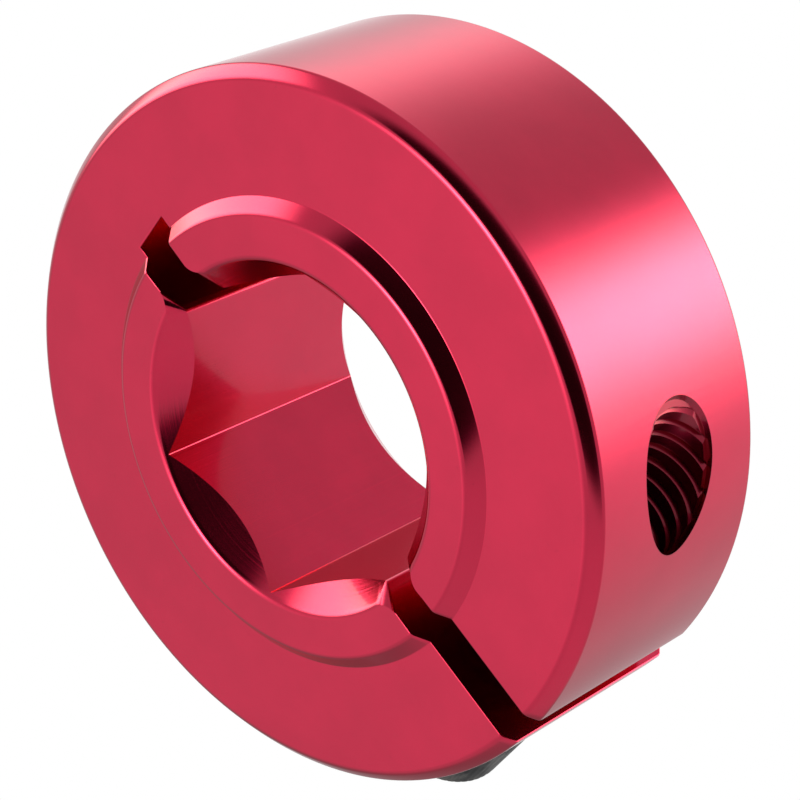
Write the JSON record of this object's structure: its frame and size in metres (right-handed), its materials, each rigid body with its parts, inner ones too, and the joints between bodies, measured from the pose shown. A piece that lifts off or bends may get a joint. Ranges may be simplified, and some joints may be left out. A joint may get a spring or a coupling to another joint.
{
  "type": "clamping shaft collar",
  "caption": "One-piece clamping shaft collar with a hexagonal bore, a raised boss on each face, a closing slit, a relief slot and a socket head clamp screw.",
  "frame": {"origin": "centre of the hexagonal bore, at mid width of the collar", "axes": "Y along the bore, with the wider countersink towards -Y; the slit points down, -Z; the clamp screw lies along X with its head towards -X"},
  "size_m": [0.0302, 0.0118, 0.0302],
  "materials": {
    "red_anodised_aluminium": "turned, bright red anodised",
    "black_oxide_steel": "black oxide"
  },
  "bodies": {
    "collar": {"collar_body": "red_anodised_aluminium"},
    "screw": {"clamp_screw": "black_oxide_steel"}
  },
  "joints": [
    {"name": "clamp_screw_travel", "type": "slide", "parent": "collar", "child": "screw", "axis": [-1, 0, 0], "range_m": [0, 0.0045]}
  ]
}
